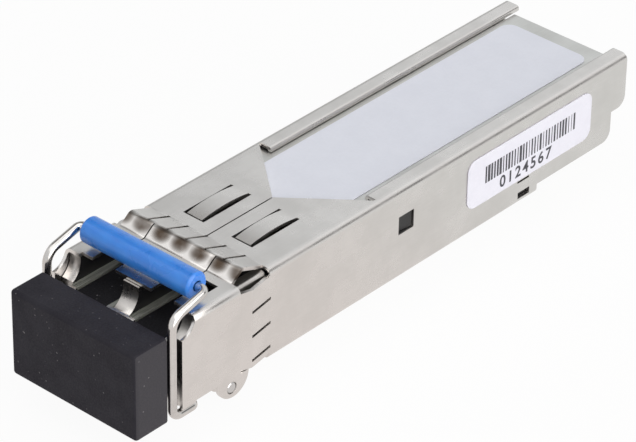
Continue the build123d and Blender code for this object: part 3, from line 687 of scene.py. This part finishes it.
def labelBars(plan):
    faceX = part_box("side_label")[1].x / mm
    inputs = {"Count": "NodeSocketInt", "Pitch": "NodeSocketVector", "Thin": "NodeSocketVector",
              "Thick": "NodeSocketVector", "Seed": "NodeSocketInt"}
    growth = Growth("labelBars", inputs)
    row = {"Count": growth.value("Count"), "Offset": growth.value("Pitch")}
    line = growth.node("GeometryNodeMeshLine", {"mode": "OFFSET"}, row)
    bar = growth.node("GeometryNodeMeshCube", {}, {"Size": (1.0, 1.0, 1.0)}, out="Mesh")
    spread = {0: growth.value("Thin"), 1: growth.value("Thick"), "Seed": growth.value("Seed")}
    size = growth.node("FunctionNodeRandomValue", {"data_type": "FLOAT_VECTOR"}, spread)
    placed = {"Points": line, "Instance": bar, "Scale": size}
    growth.end(growth.node("GeometryNodeInstanceOnPoints", {}, placed), "printInk")
    piece = newPiece("side_label_bars", bpy.data.meshes.new("bars"))
    pitch = (plan["barEnd"] - plan["barStart"]) / (plan["barCount"] - 1)
    height = plan["barHigh"] - plan["barLow"]
    thick = plan["thickness"]
    growth.grow(piece, {
        "Count": plan["barCount"],
        "Pitch": (0.0, pitch * mm, 0.0),
        "Thin": (thick * mm, plan["thin"] * pitch * mm, height * mm),
        "Thick": (thick * mm, plan["thick"] * pitch * mm, height * mm),
        "Seed": plan["seed"],
    })
    middle = Vector((faceX + thick / 2, plan["barStart"], (plan["barLow"] + plan["barHigh"]) / 2)) * mm
    piece.data.transform(Matrix.Translation(middle))
    return piece


def labelDigits(plan):
    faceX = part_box("side_label")[1].x / mm
    text = bpy.data.curves.new("digits", "FONT")
    text.body = plan["digits"]
    text.size = plan["digitSize"] * mm
    text.extrude = plan["thickness"] / 2 * mm
    text.offset = plan["digitWeight"] * mm
    text.space_character = plan["digitSpacing"]
    source = newPiece("digitSource", text)
    graph = bpy.context.evaluated_depsgraph_get()
    mesh = bpy.data.meshes.new_from_object(source.evaluated_get(graph))
    bpy.data.objects.remove(source)
    turn = Matrix(((0, 0, 1), (1, 0, 0), (0, 1, 0))).to_4x4()     # reads along the body, facing right
    place = Vector((faceX + plan["thickness"] / 2, plan["digitStart"], plan["digitLow"])) * mm
    mesh.transform(Matrix.Translation(place) @ turn)
    piece = newPiece("side_label_digits", mesh)
    paint(piece, "printInk")
    return piece


for printed in (labelBars(labelPlan), labelDigits(labelPlan)):
    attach(printed, nodes["side_label"]["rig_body"])
print("stage: side label printed")

# Light: a white room for the lens and the gloss, wide soft lamps at a plain level

lightPlan = {
    "room": (0.97, 0.985, 1.0),
    "roomPower": 0.30,
    "glossFar": (0.53, 0.54, 0.54),            # what the tops of flat metal show, behind and above
    "glossFarWay": (-0.557, 0.624, 0.548),
    "glossFarSpan": (58.0, 26.0),              # degrees from its middle, outer and inner
    "flag": (0.13, 0.10, 0.08),                # a dark card above the nose
    "flagWay": (-0.557, 0.147, 0.817),
    "edgeFlag": (0.20, 0.20, 0.20),            # a grey card low behind, that draws the long folds
    "edgeFlagWay": (0.70, 0.624, 0.33),
    "flagSpan": (18.0, 10.0),
    "floorHalf": 3.0,
    "floorPaper": (0.82, 0.82, 0.82),
    "floorRough": 0.7,
    "floorGloss": (1.0, 0.950, 0.920),         # warmer in front, plain towards the rear
    "floorGlossRear": (0.955, 0.965, 0.950),
    "floorGlossFrom": 0.008,
    "floorGlossTo": 0.045,
    "floorGlow": 0.94,
    "floorDrop": 1.9 * mm,                     # room under the nose for the bail when it's down
    "aim": (0.0, 0.02, 0.0),
    "key": {"place": (-0.05, -0.15, 0.75), "size": 0.8, "power": 1.6, "colour": (1.0, 0.99, 0.97)},
    "side": {"place": (0.62, -0.1, 0.32), "size": 0.8, "power": 5.4, "colour": (1.0, 0.96, 0.93)},
    "rear": {"place": (-0.15, 0.6, 0.4), "size": 0.7, "power": 0.7, "colour": (0.96, 0.98, 1.0)},
}


def shownRays(tree):
    camera = tree.node("ShaderNodeLightPath", out="Is Camera Ray")
    shine = camera.beside("Is Glossy Ray")
    return shine, camera.either(shine).either(camera.beside("Is Transmission Ray"))


def makeRoom(plan):
    world = bpy.data.worlds.new("room")
    bpy.context.scene.world = world
    world.use_nodes = True
    tree = Tree(world.node_tree)
    world.node_tree.nodes.clear()
    way = tree.node("ShaderNodeTexCoord", out="Generated")

    def towards(direction, span):
        unit = tuple(Vector(direction).normalized())
        values = {0: way, 1: unit}
        near = tree.node("ShaderNodeVectorMath", {"operation": "DOT_PRODUCT"}, values, out="Value")
        outer, inner = (math.cos(math.radians(angle)) for angle in span)
        return near.ramp(outer, inner)

    far = towards(plan["glossFarWay"], plan["glossFarSpan"])
    card = towards(plan["flagWay"], plan["flagSpan"])
    edgeCard = towards(plan["edgeFlagWay"], plan["flagSpan"])
    gloss = tree.mix(far, (1.0, 1.0, 1.0), plan["glossFar"])
    gloss = tree.mix(card, gloss, plan["flag"])
    gloss = tree.mix(edgeCard, gloss, plan["edgeFlag"])
    shine, shown = shownRays(tree)
    background = tree.mix(shine, (1.0, 1.0, 1.0), gloss)
    room = {"Color": plan["room"], "Strength": plan["roomPower"]}
    plain = tree.node("ShaderNodeBackground", {}, room)
    seen = tree.node("ShaderNodeBackground", {}, {"Color": background, "Strength": 1.0})
    both = tree.node("ShaderNodeMixShader", {}, {0: shown, 1: plain, 2: seen})
    tree.node("ShaderNodeOutputWorld", {}, {"Surface": both})


def makeLamp(name, plan, aim):
    data = bpy.data.lights.new(name, "AREA")
    data.size = plan["size"]
    data.energy = plan["power"]
    data.color = plan["colour"]
    lamp = bpy.data.objects.new(name, data)
    lamp.location = plan["place"]
    lamp.rotation_euler = (Vector(aim) - lamp.location).to_track_quat("-Z", "Y").to_euler()
    bpy.context.scene.collection.objects.link(lamp)


def makeFloor(plan, height):
    half = plan["floorHalf"]
    mesh = bpy.data.meshes.new("floor")
    corners = [(-half, -half, height), (half, -half, height), (half, half, height), (-half, half, height)]
    mesh.from_pydata(corners, [], [(0, 1, 2, 3)])
    floor = newPiece("floor", mesh)
    shader = Shader("floorPaper")
    shader.set(Base_Color=plan["floorPaper"], Roughness=plan["floorRough"])
    shine, shown = shownRays(shader)
    rearwards = shader.axis("Y").ramp(plan["floorGlossFrom"], plan["floorGlossTo"])
    gloss = shader.mix(rearwards, plan["floorGloss"], plan["floorGlossRear"])
    colour = shader.mix(shine, (1.0, 1.0, 1.0), gloss)
    glow = shader.node("ShaderNodeEmission", {}, {"Color": colour, "Strength": 1.0})
    paper = Wire(shader, shader.principled.outputs[0])
    share = shown * plan["floorGlow"]
    both = shader.node("ShaderNodeMixShader", {}, {0: share, 1: paper, 2: glow})
    shader.feed(shader.nodeTree.nodes["Material Output"].inputs[0], both)
    mesh.materials.append(shader.material)


makeRoom(lightPlan)
for lampName in ("key", "side", "rear"):
    makeLamp(lampName, lightPlan[lampName], lightPlan["aim"])
makeFloor(lightPlan, cadBox[0].z - lightPlan["floorDrop"])
bpy.context.scene.view_settings.view_transform = "Standard"
print("stage: room, lamps and floor")
